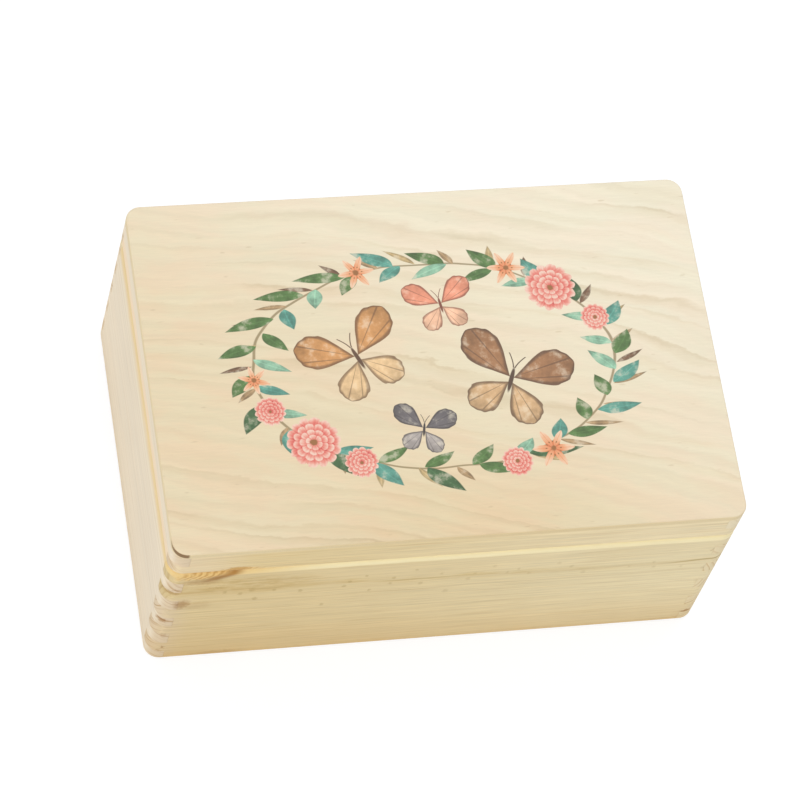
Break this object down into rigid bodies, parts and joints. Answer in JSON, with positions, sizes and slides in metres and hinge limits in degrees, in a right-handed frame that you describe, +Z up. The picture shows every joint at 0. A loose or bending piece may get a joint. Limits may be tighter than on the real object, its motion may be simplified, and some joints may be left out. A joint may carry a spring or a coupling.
{
  "type": "keepsake box",
  "caption": "Rectangular wooden box with finger-jointed rounded corners and a plywood-topped lid that swings on two small butt hinges at the back.",
  "frame": {"origin": "middle of the underside, in the plane that the box stands on", "axes": "+Z up, +X along the width to the viewer's right, -Y towards the viewer at the front, +Y to the hinges at the back"},
  "size_m": [0.3, 0.2006, 0.1303],
  "materials": {
    "pine_long": "sanded, untreated pine, grain along the width",
    "pine_end": "sanded, untreated pine, grain along the depth",
    "plywood_lid": "sanded plywood, pale veneer with a printed flower decoration",
    "plywood_bottom": "plain plywood",
    "hinge_brass": "brass-plated, satin",
    "screw_brass": "brass-plated, worn in the recess",
    "pin_steel": "drawn wire"
  },
  "bodies": {
    "box": {"front_board": "pine_long", "back_board": "pine_long", "left_board": "pine_end", "right_board": "pine_end", "bottom_panel": "plywood_bottom", "left_hinge_box_leaf": "hinge_brass", "left_hinge_pin": "pin_steel", "left_hinge_box_screws": "screw_brass", "right_hinge_box_leaf": "hinge_brass", "right_hinge_pin": "pin_steel", "right_hinge_box_screws": "screw_brass"},
    "lid": {"lid_front_rail": "pine_long", "lid_back_rail": "pine_long", "lid_left_rail": "pine_end", "lid_right_rail": "pine_end", "lid_panel": "plywood_lid", "left_hinge_lid_leaf": "hinge_brass", "left_hinge_lid_screws": "screw_brass", "right_hinge_lid_leaf": "hinge_brass", "right_hinge_lid_screws": "screw_brass"}
  },
  "joints": [
    {"name": "lid_hinge", "type": "hinge", "parent": "box", "child": "lid", "pos_m": [0, 0.0986, 0.10615], "axis": [-1, 0, 0], "range_deg": [0, 105]}
  ]
}
